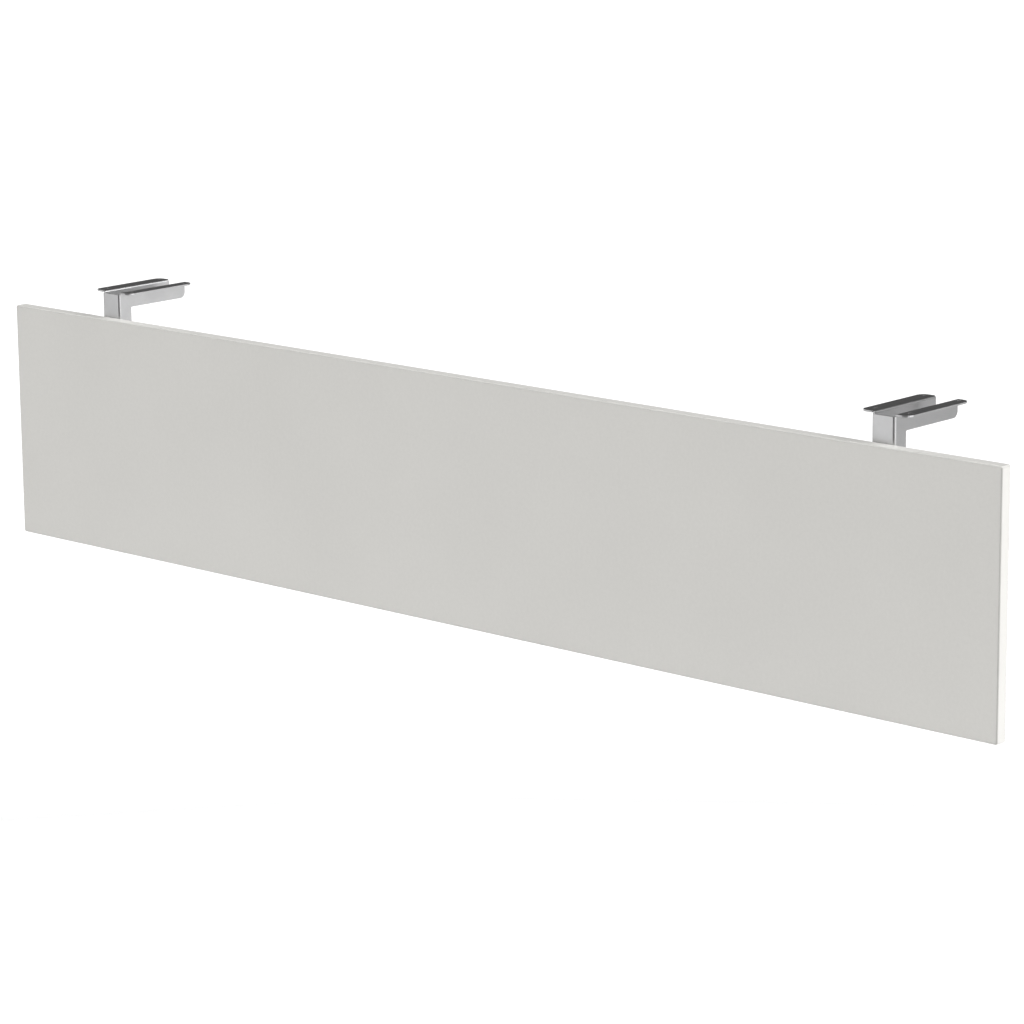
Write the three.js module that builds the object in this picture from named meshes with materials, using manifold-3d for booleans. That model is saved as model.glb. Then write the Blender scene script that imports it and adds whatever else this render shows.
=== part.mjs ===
// Desk privacy (modesty) panel: an edge-banded board hung below a desk top by two folded steel
// brackets. Millimetres, +Z up, +X along the panel, +Y from the panel towards the sitter's knees.
// The origin is midway along the panel, where the plane of the panel's back face meets the plane
// of the flange tops, which is the underside of the desk top.
import * as THREE from 'three';
import { mergeVertices } from 'three/addons/utils/BufferGeometryUtils.js';
import Module from 'manifold-3d';

const wasm = await Module();
wasm.setup();

// Board: a chipboard core, a facing sheet on each side and a thick edge band all round.
const PANEL_LENGTH = 1600;
const PANEL_HEIGHT = 310;
const PANEL_THICKNESS = 16;
const FACE_SHEET = 0.3;
const EDGE_BAND = 2;
const ARRIS_RADIUS = 1.5;
const CORNER_RADIUS = 2.5;
const DESK_GAP = 34; // from the top of the panel up to the underside of the desk top

// Bracket: one folded sheet. A web lies on the back of the panel, two L-shaped cheeks run back
// from it, and a flange turns outward along the top of each cheek.
const SHEET = 2;
const BEND_INSIDE_RADIUS = 1;
const CORNER_RELIEF = 0.5; // from the web's bends back to where the flange bends start
const BRACKET_INSET = 171; // from the end of the panel to the middle of the bracket
const CHANNEL_WIDTH = 32;
const CHEEK_WIDTH = 21; // the same on the leg and on the arm
const ARM_REACH = 117;
const LEG_BELOW_PANEL_TOP = 120;
const FLANGE_FRONT = 1.5; // the flanges stop a little short of the panel's back face
const FLANGE_WIDTH = 17.5;
const FLANGE_CORNER_RADIUS = 10;
const CHEEK_CORNER_RADIUS = 8;
const INNER_CORNER_RADIUS = 1.5;
const DESK_HOLE = 6;
const DESK_HOLE_FROM_CHEEK = 7.5;
const DESK_HOLE_FROM_FRONT = 16;
const DESK_HOLE_FROM_END = 8;

// Fixings: M6 pan-head screws with plain washers, in threaded inserts set in the board.
const FIXINGS_PER_BRACKET = 3;
const FIRST_FIXING_BELOW_TOP = 20;
const FIXING_PITCH = 40;
const THREAD = 6;
const SCREW_LENGTH = 12;
const TIP_CHAMFER = 0.6;
const HEAD_DIAMETER = 12;
const HEAD_HEIGHT = 3.6;
const HEAD_RIM = 1.2;
const RECESS_WIDTH = 1.5;
const RECESS_LENGTH = 6.4;
const RECESS_DEPTH = 2;
const WASHER_DIAMETER = 14;
const WASHER_THICKNESS = 1.6;
const INSERT_DIAMETER = 10;
const INSERT_LENGTH = 10;
const INSERT_SUNK = 0.5;
const INSERT_CHAMFER = 0.5;

// Clearances.
const GLUE_LINE = 0.1;
const SEAT_GAP = 0.1; // between a washer and what it lies against
const THREAD_FIT = 0.1; // on the radius, where a thread runs in its mate
const WASHER_FIT = 0.3; // on the radius, washer over screw
const WEB_HOLE_FIT = 0.4; // on the radius, web over screw
const HOLE_END_ROOM = 1; // from an insert to the bottom of its hole

// Smoothness of the round parts.
const ROUND_SEGMENTS = 20;
const BEND_SEGMENTS = 4;
const DOME_STEPS = 4;
const OVERCUT = 1; // how far a cutting solid runs past the face it cuts

const BEND_OUTSIDE_RADIUS = BEND_INSIDE_RADIUS + SHEET;
const FLANGE_BEND_FRONT = BEND_OUTSIDE_RADIUS + CORNER_RELIEF;
const PANEL_TOP = -DESK_GAP;
const PANEL_BOTTOM = PANEL_TOP - PANEL_HEIGHT;
const PANEL_MIDDLE = PANEL_TOP - PANEL_HEIGHT / 2;
const INNER_LENGTH = PANEL_LENGTH - 2 * (EDGE_BAND + GLUE_LINE);
const INNER_HEIGHT = PANEL_HEIGHT - 2 * (EDGE_BAND + GLUE_LINE);
const BRACKET_PLACES = [
  { side: 'left', x: -PANEL_LENGTH / 2 + BRACKET_INSET },
  { side: 'right', x: PANEL_LENGTH / 2 - BRACKET_INSET },
];
const FIXING_HEIGHTS = Array.from(
  { length: FIXINGS_PER_BRACKET },
  (_, index) => PANEL_TOP - FIRST_FIXING_BELOW_TOP - index * FIXING_PITCH,
);

const MATERIALS = {
  chipboard: { color: 0xb89a6c, roughness: 0.9, metalness: 0 },
  facing: { color: 0xcfcec9, roughness: 0.55, metalness: 0 },
  edging: { color: 0xd3d2cd, roughness: 0.5, metalness: 0 },
  bracketSteel: { color: 0xb9babc, roughness: 0.22, metalness: 1 },
  screwSteel: { color: 0xaeb0b3, roughness: 0.3, metalness: 1 },
  insertBrass: { color: 0xb08d4a, roughness: 0.4, metalness: 1 },
};

/** Closed solid of a closed geometry, ready to be joined or cut. */
function toSolid(geometry) {
  const bare = geometry.clone();
  bare.deleteAttribute('normal');
  bare.deleteAttribute('uv');
  const merged = mergeVertices(bare);
  const vertProperties = new Float32Array(merged.attributes.position.array);
  const triVerts = new Uint32Array(merged.index.array);
  return new wasm.Manifold(new wasm.Mesh({ numProp: 3, vertProperties, triVerts }));
}

/** Geometry of a solid. */
function toGeometry(solid) {
  const { vertProperties, triVerts } = solid.getMesh();
  const geometry = new THREE.BufferGeometry();
  geometry.setAttribute('position', new THREE.BufferAttribute(vertProperties, 3));
  geometry.setIndex(new THREE.BufferAttribute(triVerts, 1));
  geometry.computeVertexNormals();
  return geometry;
}

/** Named mesh with a material of its own, standing at x on the panel. */
function namedMesh(name, geometry, look, x = 0) {
  const mesh = new THREE.Mesh(geometry, new THREE.MeshStandardMaterial(look));
  mesh.name = name;
  mesh.position.x = x;
  return mesh;
}

/** Box geometry between two corners. */
function boxBetween(low, high) {
  const size = high.map((value, axis) => value - low[axis]);
  const middle = high.map((value, axis) => (value + low[axis]) / 2);
  return new THREE.BoxGeometry(...size).translate(...middle);
}

/** Cylinder along Y between two places, with its middle line at (x, z). */
function cylinderAlongY(radius, x, z, yLow, yHigh) {
  const geometry = new THREE.CylinderGeometry(radius, radius, yHigh - yLow, ROUND_SEGMENTS);
  return geometry.translate(x, (yLow + yHigh) / 2, z);
}

/** Extrude an outline drawn in (x, y) along Z. */
function extrudeAlongZ(outline, zLow, zHigh, options = {}) {
  const settings = { depth: zHigh - zLow, bevelEnabled: false, curveSegments: BEND_SEGMENTS, ...options };
  return new THREE.ExtrudeGeometry(outline, settings).translate(0, 0, zLow);
}

/** Extrude an outline drawn in (y, z) along X. */
function extrudeAlongX(outline, xLow, xHigh) {
  const axes = new THREE.Matrix4().makeBasis(
    new THREE.Vector3(0, 1, 0),
    new THREE.Vector3(0, 0, 1),
    new THREE.Vector3(1, 0, 0),
  );
  return extrudeAlongZ(outline, xLow, xHigh).applyMatrix4(axes);
}

/** Extrude an outline drawn in (x, z) along Y. */
function extrudeAlongY(outline, yLow, yHigh, options = {}) {
  const axes = new THREE.Matrix4().makeBasis(
    new THREE.Vector3(1, 0, 0),
    new THREE.Vector3(0, 0, 1),
    new THREE.Vector3(0, -1, 0),
  );
  return extrudeAlongZ(outline, -yHigh, -yLow, options).applyMatrix4(axes);
}

/** Outline of a rectangle with round corners. */
function roundedRectangle(left, bottom, right, top, radius) {
  const outline = new THREE.Shape();
  outline.moveTo(left + radius, bottom);
  outline.lineTo(right - radius, bottom);
  outline.absarc(right - radius, bottom + radius, radius, -Math.PI / 2, 0);
  outline.lineTo(right, top - radius);
  outline.absarc(right - radius, top - radius, radius, 0, Math.PI / 2);
  outline.lineTo(left + radius, top);
  outline.absarc(left + radius, top - radius, radius, Math.PI / 2, Math.PI);
  outline.lineTo(left, bottom + radius);
  outline.absarc(left + radius, bottom + radius, radius, Math.PI, Math.PI * 1.5);
  return outline;
}

/** Blank of the whole board, with round corners and a round arris along every edge. */
function boardBlank() {
  const half = PANEL_LENGTH / 2;
  const outline = roundedRectangle(-half, PANEL_BOTTOM, half, PANEL_TOP, CORNER_RADIUS);
  const arris = {
    bevelEnabled: true,
    bevelThickness: ARRIS_RADIUS,
    bevelSize: ARRIS_RADIUS,
    bevelOffset: -ARRIS_RADIUS,
    bevelSegments: BEND_SEGMENTS,
  };
  return toSolid(extrudeAlongY(outline, -PANEL_THICKNESS + ARRIS_RADIUS, -ARRIS_RADIUS, arris));
}

/** Edge bands: the two upright ones first, then the long ones that cover their ends. */
function edgeBands() {
  const blank = boardBlank();
  const front = -PANEL_THICKNESS - OVERCUT;
  const end = PANEL_LENGTH / 2;
  const bandInner = end - EDGE_BAND;
  const sideTop = PANEL_TOP - EDGE_BAND - GLUE_LINE;
  const sideBottom = PANEL_BOTTOM + EDGE_BAND + GLUE_LINE;
  const regions = {
    edge_band_left: [[-end - OVERCUT, front, sideBottom], [-bandInner, OVERCUT, sideTop]],
    edge_band_right: [[bandInner, front, sideBottom], [end + OVERCUT, OVERCUT, sideTop]],
    edge_band_top: [[-end - OVERCUT, front, PANEL_TOP - EDGE_BAND], [end + OVERCUT, OVERCUT, 0]],
    edge_band_bottom: [
      [-end - OVERCUT, front, PANEL_BOTTOM - OVERCUT],
      [end + OVERCUT, OVERCUT, PANEL_BOTTOM + EDGE_BAND],
    ],
  };
  return Object.entries(regions).map(([name, [low, high]]) => {
    const band = blank.intersect(toSolid(boxBetween(low, high)));
    return namedMesh(name, toGeometry(band), MATERIALS.edging);
  });
}

/** Slab of the board between two depths, inside the edge bands. */
function innerSlab(yLow, yHigh) {
  const low = [-INNER_LENGTH / 2, yLow, PANEL_MIDDLE - INNER_HEIGHT / 2];
  const high = [INNER_LENGTH / 2, yHigh, PANEL_MIDDLE + INNER_HEIGHT / 2];
  return toSolid(boxBetween(low, high));
}

/** Cut the hole for every insert, from behind the board down to the given depth. */
function cutInsertHoles(solid, yBottom) {
  const radius = INSERT_DIAMETER / 2 + THREAD_FIT;
  let cut = solid;
  for (const { x } of BRACKET_PLACES) {
    for (const z of FIXING_HEIGHTS) {
      cut = cut.subtract(toSolid(cylinderAlongY(radius, x, z, yBottom, OVERCUT)));
    }
  }
  return cut;
}

/** Core and facing sheets of the board. */
function boardLayers() {
  const coreFront = -PANEL_THICKNESS + FACE_SHEET + GLUE_LINE;
  const coreBack = -FACE_SHEET - GLUE_LINE;
  const holeBottom = -(INSERT_SUNK + INSERT_LENGTH + HOLE_END_ROOM);
  const core = cutInsertHoles(innerSlab(coreFront, coreBack), holeBottom);
  const back = cutInsertHoles(innerSlab(-FACE_SHEET, 0), holeBottom);
  const front = innerSlab(-PANEL_THICKNESS, -PANEL_THICKNESS + FACE_SHEET);
  return [
    namedMesh('board_core', toGeometry(core), MATERIALS.chipboard),
    namedMesh('face_sheet_front', toGeometry(front), MATERIALS.facing),
    namedMesh('face_sheet_back', toGeometry(back), MATERIALS.facing),
  ];
}

/** Plan section of the web and both cheeks, seen from above. */
function channelSection() {
  const outer = CHANNEL_WIDTH / 2;
  const inner = outer - SHEET;
  const bend = BEND_OUTSIDE_RADIUS;
  const centre = outer - bend;
  const section = new THREE.Shape();
  section.moveTo(-outer, ARM_REACH);
  section.lineTo(-outer, bend);
  section.absarc(-centre, bend, bend, Math.PI, Math.PI * 1.5);
  section.lineTo(centre, 0);
  section.absarc(centre, bend, bend, -Math.PI / 2, 0);
  section.lineTo(outer, ARM_REACH);
  section.lineTo(inner, ARM_REACH);
  section.lineTo(inner, bend);
  section.absarc(centre, bend, BEND_INSIDE_RADIUS, 0, -Math.PI / 2, true);
  section.lineTo(-centre, SHEET);
  section.absarc(-centre, bend, BEND_INSIDE_RADIUS, -Math.PI / 2, -Math.PI, true);
  section.lineTo(-inner, ARM_REACH);
  return section;
}

/** Side view of a cheek: a leg down the back of the panel and an arm under the desk top. */
function cheekOutline() {
  const legBottom = PANEL_TOP - LEG_BELOW_PANEL_TOP;
  const armBottom = -CHEEK_WIDTH;
  const corner = CHEEK_CORNER_RADIUS;
  const inner = INNER_CORNER_RADIUS;
  const outline = new THREE.Shape();
  outline.moveTo(-OVERCUT, legBottom);
  outline.lineTo(CHEEK_WIDTH - corner, legBottom);
  outline.absarc(CHEEK_WIDTH - corner, legBottom + corner, corner, -Math.PI / 2, 0);
  outline.lineTo(CHEEK_WIDTH, armBottom - inner);
  outline.absarc(CHEEK_WIDTH + inner, armBottom - inner, inner, Math.PI, Math.PI / 2, true);
  outline.lineTo(ARM_REACH - corner, armBottom);
  outline.absarc(ARM_REACH - corner, armBottom + corner, corner, -Math.PI / 2, 0);
  outline.lineTo(ARM_REACH, OVERCUT);
  outline.lineTo(-OVERCUT, OVERCUT);
  return outline;
}

/** Cross-section of a flange and of its bend from the cheek, on the +X side. */
function flangeSection() {
  const bend = BEND_OUTSIDE_RADIUS;
  const outer = CHANNEL_WIDTH / 2;
  const centre = outer + BEND_INSIDE_RADIUS;
  const tip = outer + FLANGE_WIDTH;
  const overlap = -bend - SHEET;
  const section = new THREE.Shape();
  section.moveTo(outer - SHEET, overlap);
  section.lineTo(outer, overlap);
  section.lineTo(outer, -bend);
  section.absarc(centre, -bend, BEND_INSIDE_RADIUS, Math.PI, Math.PI / 2, true);
  section.lineTo(tip, -SHEET);
  section.lineTo(tip, 0);
  section.lineTo(centre, 0);
  section.absarc(centre, -bend, bend, Math.PI / 2, Math.PI);
  return section;
}

/** Both flanges, their free corners rounded off; each plate runs forward past its bend. */
function flangeSolids() {
  const plateInner = CHANNEL_WIDTH / 2 + BEND_INSIDE_RADIUS;
  const tip = CHANNEL_WIDTH / 2 + FLANGE_WIDTH;
  const bend = toSolid(extrudeAlongY(flangeSection(), FLANGE_BEND_FRONT, ARM_REACH));
  const plate = toSolid(boxBetween([plateInner, FLANGE_FRONT, -SHEET], [tip, ARM_REACH, 0]));
  const flange = bend.add(plate);
  const plan = roundedRectangle(-tip, FLANGE_FRONT, tip, ARM_REACH, FLANGE_CORNER_RADIUS);
  const planSolid = toSolid(extrudeAlongZ(plan, -CHEEK_WIDTH, OVERCUT));
  return flange.add(flange.mirror([1, 0, 0])).intersect(planSolid);
}

/** Every hole of a bracket: two in each flange for the desk, and a column in the web. */
function bracketHoles() {
  const holes = [];
  const webHole = THREAD / 2 + WEB_HOLE_FIT;
  for (const z of FIXING_HEIGHTS) {
    holes.push(toSolid(cylinderAlongY(webHole, 0, z, -OVERCUT, SHEET + OVERCUT)));
  }
  const along = CHANNEL_WIDTH / 2 + DESK_HOLE_FROM_CHEEK;
  for (const x of [-along, along]) {
    for (const y of [FLANGE_FRONT + DESK_HOLE_FROM_FRONT, ARM_REACH - DESK_HOLE_FROM_END]) {
      const height = SHEET + 2 * OVERCUT;
      const hole = new THREE.CylinderGeometry(DESK_HOLE / 2, DESK_HOLE / 2, height, ROUND_SEGMENTS);
      holes.push(toSolid(hole.rotateX(Math.PI / 2).translate(x, y, -SHEET / 2)));
    }
  }
  return holes;
}

/** One folded bracket around x = 0. */
function bracketSolid() {
  const bottom = PANEL_TOP - LEG_BELOW_PANEL_TOP;
  const channel = toSolid(extrudeAlongZ(channelSection(), bottom, -BEND_OUTSIDE_RADIUS));
  const cheeks = toSolid(extrudeAlongX(cheekOutline(), -CHANNEL_WIDTH, CHANNEL_WIDTH));
  let body = channel.intersect(cheeks).add(flangeSolids());
  for (const hole of bracketHoles()) {
    body = body.subtract(hole);
  }
  return body;
}

/** Both brackets. */
function brackets() {
  const geometry = toGeometry(bracketSolid());
  return BRACKET_PLACES.map(({ side, x }) => {
    return namedMesh(`bracket_${side}`, geometry.clone(), MATERIALS.bracketSteel, x);
  });
}

/** Turn a closed (radius, y) profile about Y. */
function turned(points) {
  const profile = points.map(([radius, y]) => new THREE.Vector2(radius, y));
  return new THREE.LatheGeometry(profile, ROUND_SEGMENTS);
}

/** Pan-head screw along Y, with the underside of its head at y = 0 and its tip towards -Y. */
function screwGeometry() {
  const shank = THREAD / 2;
  const head = HEAD_DIAMETER / 2;
  const domeRise = HEAD_HEIGHT - HEAD_RIM;
  const dome = Array.from({ length: DOME_STEPS }, (_, step) => {
    const angle = ((step + 1) / DOME_STEPS) * (Math.PI / 2);
    return [head * Math.cos(angle), HEAD_RIM + domeRise * Math.sin(angle)];
  });
  dome[DOME_STEPS - 1][0] = 0;
  const blank = turned([
    [0, -SCREW_LENGTH],
    [shank - TIP_CHAMFER, -SCREW_LENGTH],
    [shank, -SCREW_LENGTH + TIP_CHAMFER],
    [shank, 0],
    [head, 0],
    [head, HEAD_RIM],
    ...dome,
  ]);
  const slot = new THREE.BoxGeometry(RECESS_WIDTH, RECESS_DEPTH * 2, RECESS_LENGTH);
  const slotSolid = toSolid(slot.translate(0, HEAD_HEIGHT, 0));
  const crossSlot = toSolid(slot.rotateY(Math.PI / 2));
  return toGeometry(toSolid(blank).subtract(slotSolid.add(crossSlot)));
}

/** Plain washer lying against y = 0, on its +Y side. */
function washerGeometry() {
  const bore = THREAD / 2 + WASHER_FIT;
  const rim = WASHER_DIAMETER / 2;
  return turned([[bore, 0], [rim, 0], [rim, WASHER_THICKNESS], [bore, WASHER_THICKNESS], [bore, 0]]);
}

/** Threaded insert that runs from y = 0 towards -Y. */
function insertGeometry() {
  const bore = THREAD / 2 + THREAD_FIT;
  const rim = INSERT_DIAMETER / 2;
  return turned([
    [bore, -INSERT_LENGTH],
    [rim - INSERT_CHAMFER, -INSERT_LENGTH],
    [rim, -INSERT_LENGTH + INSERT_CHAMFER],
    [rim, 0],
    [bore, 0],
    [bore, -INSERT_LENGTH],
  ]);
}

/** Screw, washer and insert at every fixing place. */
function fixings() {
  const washerSeat = SHEET + SEAT_GAP;
  const kinds = [
    { kind: 'screw', geometry: screwGeometry(), y: washerSeat + WASHER_THICKNESS + SEAT_GAP,
      look: MATERIALS.screwSteel },
    { kind: 'washer', geometry: washerGeometry(), y: washerSeat, look: MATERIALS.screwSteel },
    { kind: 'insert', geometry: insertGeometry(), y: -INSERT_SUNK, look: MATERIALS.insertBrass },
  ];
  const meshes = [];
  for (const { side, x } of BRACKET_PLACES) {
    FIXING_HEIGHTS.forEach((z, index) => {
      for (const { kind, geometry, y, look } of kinds) {
        const mesh = namedMesh(`${kind}_${side}_${index + 1}`, geometry.clone(), look, x);
        mesh.position.y = y;
        mesh.position.z = z;
        meshes.push(mesh);
      }
    });
  }
  return meshes;
}

const group = new THREE.Group();
group.add(...boardLayers(), ...edgeBands(), ...brackets(), ...fixings());

export default group;
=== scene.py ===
"""Desk privacy panel on two folded brackets, dressed and lit as a studio piece.

The board is chipboard with a melamine facing on each side and a thick plastic edge band all
round. Each bracket is one folded, bright-plated steel sheet, held on the back of the board by
three pan-head screws with washers, which run into threaded inserts.
"""
import logging
import math
from abc import ABC, abstractmethod
from collections.abc import Callable, Iterable, Sequence
from dataclasses import dataclass
from enum import Enum
from typing import ClassVar

import bmesh
import bpy
from bmesh.types import BMEdge, BMesh, BMFace, BMVert
from bpy.types import Material, Mesh, NodeSocket, Object
from mathutils import Matrix, Vector


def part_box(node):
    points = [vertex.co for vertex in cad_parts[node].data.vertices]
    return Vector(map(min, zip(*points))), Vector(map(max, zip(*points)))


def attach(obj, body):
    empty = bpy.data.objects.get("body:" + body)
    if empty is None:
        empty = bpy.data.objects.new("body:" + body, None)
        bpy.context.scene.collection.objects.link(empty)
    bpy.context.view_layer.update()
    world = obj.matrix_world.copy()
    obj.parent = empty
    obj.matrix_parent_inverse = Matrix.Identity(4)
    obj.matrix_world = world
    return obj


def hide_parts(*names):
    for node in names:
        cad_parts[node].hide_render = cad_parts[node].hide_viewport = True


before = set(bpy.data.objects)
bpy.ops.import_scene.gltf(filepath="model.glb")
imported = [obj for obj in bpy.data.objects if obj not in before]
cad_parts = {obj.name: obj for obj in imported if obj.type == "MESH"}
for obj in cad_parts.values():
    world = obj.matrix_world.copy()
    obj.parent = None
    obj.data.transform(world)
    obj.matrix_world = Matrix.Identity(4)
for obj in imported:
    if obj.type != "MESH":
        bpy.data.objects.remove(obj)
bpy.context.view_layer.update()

MM = 0.001
TOUCH = 0.01 * MM  # places closer than this are the same place
SQUARE = 0.9999  # least part of a normal along one axis, on a face that is square to the axis
SLANT = Vector((1.0, math.e, math.pi))  # askew to every edge, so that places rarely tie along it
LOG = logging.getLogger("privacy_panel")


class Side(Enum):
    """Which bracket a piece belongs to, by its end of the panel."""

    LEFT = "left"
    RIGHT = "right"


class Axis(Enum):
    """A direction of the frame, with its place in a vector."""

    X = 0
    Y = 1
    Z = 2

    @property
    def unit(self) -> Vector:
        """Unit vector along the axis."""
        return Vector([1.0 if place == self.value else 0.0 for place in range(3)])


class Slot(Enum):
    """Material slots of the record."""

    CHIPBOARD = "chipboard"
    FACING = "facing"
    EDGING = "edging"
    BRACKET_STEEL = "bracket_steel"
    SCREW_STEEL = "screw_steel"
    INSERT_BRASS = "insert_brass"


# ---- Finishes ----


class Shader:
    """Node tree of one material, with short calls for the nodes that the finishes use."""

    def __init__(self, name: str) -> None:
        """Start a material that holds only its surface shader and its output.

        Args:
            name: Name of the material.
        """
        self.material = bpy.data.materials.new(name)
        self.material.use_nodes = True
        self.tree = self.material.node_tree
        self.tree.nodes.clear()
        self.surface = self.tree.nodes.new("ShaderNodeBsdfPrincipled")
        output = self.tree.nodes.new("ShaderNodeOutputMaterial")
        self.tree.links.new(self.surface.outputs["BSDF"], output.inputs["Surface"])
        self.place = self.tree.nodes.new("ShaderNodeTexCoord").outputs["Object"]

    def set(self, **values: float | tuple[float, ...]) -> None:
        """Set plain values on the surface shader.

        Args:
            **values: Socket names in lower case with underscores, and their values.
        """
        for key, value in values.items():
            socket = key.replace("_", " ").title().replace("Ior", "IOR")
            self.surface.inputs[socket].default_value = value

    def link(self, source: NodeSocket, socket: str) -> None:
        """Feed a socket of the surface shader."""
        self.tree.links.new(source, self.surface.inputs[socket])

    def stretched(self, scale: Sequence[float]) -> NodeSocket:
        """Place on the object, scaled by a factor for each axis.

        Args:
            scale: Factor along X, Y and Z.

        Returns:
            The scaled place.
        """
        mapping = self.tree.nodes.new("ShaderNodeMapping")
        mapping.inputs["Scale"].default_value = tuple(scale)
        self.tree.links.new(self.place, mapping.inputs["Vector"])
        return mapping.outputs["Vector"]

    def noise(
        self, scale: float, detail: float = 2.0, roughness: float = 0.5, place: NodeSocket | None = None
    ) -> NodeSocket:
        """Cloudy pattern between 0 and 1.

        Args:
            scale: Number of features to a metre.
            detail: Octaves of finer pattern.
            roughness: Weight of the finer octaves.
            place: Where the pattern is read, if not at the plain place on the object.

        Returns:
            The pattern.
        """
        node = self.tree.nodes.new("ShaderNodeTexNoise")
        node.inputs["Scale"].default_value = scale
        node.inputs["Detail"].default_value = detail
        node.inputs["Roughness"].default_value = roughness
        self.tree.links.new(place or self.place, node.inputs["Vector"])
        return node.outputs["Fac"]

    def cells(self, scale: float, place: NodeSocket | None = None) -> NodeSocket:
        """Random grey for each cell of a cellular pattern.

        Args:
            scale: Number of cells to a metre.
            place: Where the pattern is read, if not at the plain place on the object.

        Returns:
            The grey of the cell.
        """
        node = self.tree.nodes.new("ShaderNodeTexVoronoi")
        node.inputs["Scale"].default_value = scale
        self.tree.links.new(place or self.place, node.inputs["Vector"])
        split = self.tree.nodes.new("ShaderNodeSeparateColor")
        self.tree.links.new(node.outputs["Color"], split.inputs["Color"])
        return split.outputs["Red"]

    def spread(
        self, source: NodeSocket, low: float, high: float, start: float = 0.3, end: float = 0.7
    ) -> NodeSocket:
        """Map a pattern to a range of values.

        Args:
            source: Pattern to map.
            low: Value at start.
            high: Value at end.
            start: Pattern value that gives low.
            end: Pattern value that gives high.

        Returns:
            The mapped value.
        """
        node = self.tree.nodes.new("ShaderNodeMapRange")
        node.inputs["From Min"].default_value = start
        node.inputs["From Max"].default_value = end
        node.inputs["To Min"].default_value = low
        node.inputs["To Max"].default_value = high
        self.tree.links.new(source, node.inputs["Value"])
        return node.outputs["Result"]

    def total(self, first: NodeSocket, second: NodeSocket) -> NodeSocket:
        """Sum of two values.

        Args:
            first: One value.
            second: The other value.

        Returns:
            The sum.
        """
        node = self.tree.nodes.new("ShaderNodeMath")
        node.operation = "ADD"
        self.tree.links.new(first, node.inputs[0])
        self.tree.links.new(second, node.inputs[1])
        return node.outputs["Value"]

    def between(self, factor: NodeSocket, dark: Sequence[float], light: Sequence[float]) -> NodeSocket:
        """Colour between two colours.

        Args:
            factor: 0 gives the dark colour and 1 the light one.
            dark: Linear red, green and blue.
            light: Linear red, green and blue.

        Returns:
            The mixed colour.
        """
        node = self.tree.nodes.new("ShaderNodeMix")
        node.data_type = "RGBA"
        colours = [socket for socket in node.inputs if socket.type == "RGBA"]
        colours[0].default_value = (*dark, 1.0)
        colours[1].default_value = (*light, 1.0)
        self.tree.links.new(factor, node.inputs["Factor"])
        return next(socket for socket in node.outputs if socket.type == "RGBA")

    def relief(self, height: NodeSocket, depth: float) -> None:
        """Raise the surface by a pattern.

        Args:
            height: Pattern, where 1 stands for the full depth.
            depth: Height of the relief in metres.
        """
        node = self.tree.nodes.new("ShaderNodeBump")
        node.inputs["Distance"].default_value = depth
        node.inputs["Strength"].default_value = 1.0
        self.tree.links.new(height, node.inputs["Height"])
        self.link(node.outputs["Normal"], "Normal")


@dataclass(frozen=True)
class Finish(ABC):
    """How one surface looks."""

    name: str
    colour: tuple[float, float, float]

    made: ClassVar[dict[str, Material]] = {}

    def material(self) -> Material:
        """Material of the finish, made once.

        Returns:
            The material.
        """
        if self.name not in Finish.made:
            shader = Shader(self.name)
            self.paint(shader)
            Finish.made[self.name] = shader.material
        return Finish.made[self.name]

    def shade(self, amount: float) -> tuple[float, float, float]:
        """Colour of the finish, made lighter or darker by a share."""
        return tuple(min(1.0, part * (1.0 + amount)) for part in self.colour)

    @abstractmethod
    def paint(self, shader: Shader) -> None:
        """Set up the shader.

        Args:
            shader: Shader of a new material.
        """


@dataclass(frozen=True)
class Melamine(Finish):
    """Decor paper pressed under a melamine skin with a fine pearl texture."""

    mottle: float = 0.02
    mottle_scale: float = 240.0
    cloud_scale: float = 5.0
    pearl_scale: float = 1100.0
    pearl_depth: float = 0.03 * MM
    gloss_scale: float = 9.0
    smoothest: float = 0.4
    roughest: float = 0.5

    def paint(self, shader: Shader) -> None:
        """Faint mottle, pearl relief and a slow change of gloss.

        Args:
            shader: Shader of a new material.
        """
        mottle = shader.total(shader.noise(self.mottle_scale, 3.0), shader.noise(self.cloud_scale))
        tone = shader.spread(mottle, 0.0, 1.0, 0.7, 1.3)
        shader.link(shader.between(tone, self.shade(-self.mottle), self.shade(self.mottle)), "Base Color")
        gloss = shader.noise(self.gloss_scale, 3.0)
        shader.link(shader.spread(gloss, self.smoothest, self.roughest), "Roughness")
        shader.relief(shader.noise(self.pearl_scale, 2.0, 0.6), self.pearl_depth)
        shader.set(specular_ior_level=0.45)


@dataclass(frozen=True)
class EdgeBand(Finish):
    """Extruded plastic band, with the fine drawn lines of its extrusion along its length."""

    along: Axis = Axis.X
    line_scale: float = 2600.0
    line_stretch: float = 0.01
    line_depth: float = 0.006 * MM
    cloud_scale: float = 30.0
    tone_swing: float = 0.015
    roughness: float = 0.42
    scraped: float = 0.0
    scraped_swing: float = 0.02
    scraped_dulling: float = 0.16
    scraped_gloss_loss: float = 0.35

    def paint(self, shader: Shader) -> None:
        """Drawn lines, faint clouding and, on a scraped arris, a duller and uneven surface.

        Args:
            shader: Shader of a new material.
        """
        scale = [1.0, 1.0, 1.0]
        scale[self.along.value] = self.line_stretch
        lines = shader.noise(self.line_scale, 2.0, 0.5, shader.stretched(scale))
        clouded = shader.total(lines, shader.noise(self.cloud_scale, 3.0))
        tone = shader.spread(clouded, 0.0, 1.0, 0.7, 1.3)
        swing = self.tone_swing + self.scraped_swing * self.scraped
        shader.link(shader.between(tone, self.shade(-swing), self.shade(swing)), "Base Color")
        rough = self.roughness + self.scraped_dulling * self.scraped
        shader.link(shader.spread(lines, rough - 0.05, rough + 0.06), "Roughness")
        shader.relief(lines, self.line_depth * (1.0 + 2.0 * self.scraped))
        shader.set(specular_ior_level=0.5 - self.scraped_gloss_loss * self.scraped)


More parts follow.
